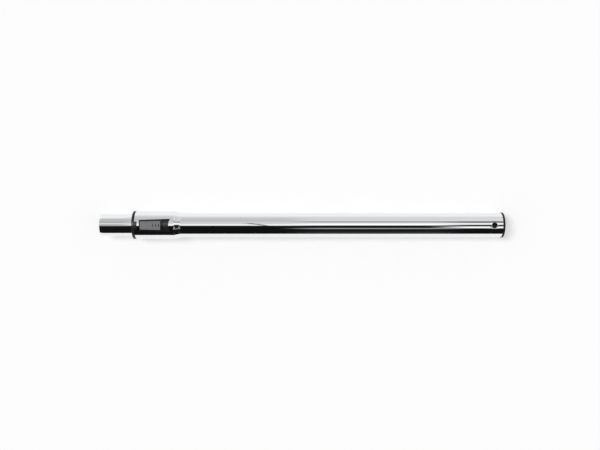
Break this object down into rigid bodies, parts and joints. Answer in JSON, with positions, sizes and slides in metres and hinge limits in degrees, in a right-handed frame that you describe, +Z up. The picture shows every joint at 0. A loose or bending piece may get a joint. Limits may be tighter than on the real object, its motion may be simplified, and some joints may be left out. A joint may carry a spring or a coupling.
{
  "type": "telescopic vacuum cleaner tube",
  "caption": "Chromed steel telescopic vacuum tube with a thumb lock, a black collar, a plain nozzle spigot and a lined handle socket with a latch hole.",
  "frame": {"origin": "under the middle of the tube as it lies, on the surface that the collar rests on", "axes": "+X along the tube from the nozzle end to the handle end, +Z up through the lock's slider"},
  "size_m": [0.5748, 0.0404, 0.0406],
  "materials": {
    "chrome": "bright chrome plate on steel",
    "black_plastic": "moulded, satin",
    "slider_plastic": "moulded, semi-gloss",
    "pad_plastic": "moulded, fine matt texture",
    "hard_steel": "ground, hardened",
    "felt": "pressed felt"
  },
  "bodies": {
    "outer": {"outer_tube": "chrome", "guide_sleeve": "black_plastic", "seal_ring": "felt", "handle_socket": "black_plastic", "return_spring": "hard_steel"},
    "inner": {"inner_tube": "chrome", "slide_bush": "black_plastic"},
    "slider": {"lock_slider": "slider_plastic", "slider_pad": "pad_plastic"},
    "roller": {"lock_roller": "hard_steel"}
  },
  "joints": [
    {"name": "telescope", "type": "slide", "parent": "outer", "child": "inner", "axis": [-1, 0, 0], "range_m": [0, 0.36]},
    {"name": "lock_slide", "type": "slide", "parent": "outer", "child": "slider", "axis": [1, 0, 0], "range_m": [0, 0.008], "stiffness_N_per_m": 300, "springref_m": -0.004, "deforming": ["return_spring"]},
    {"name": "roller_lift", "type": "slide", "parent": "outer", "child": "roller", "axis": [0, 0, 1], "range_m": [0, 0.0009]}
  ],
  "couplings": [
    {"joint": "roller_lift", "follows": "lock_slide", "ratio": 0.1124}
  ]
}
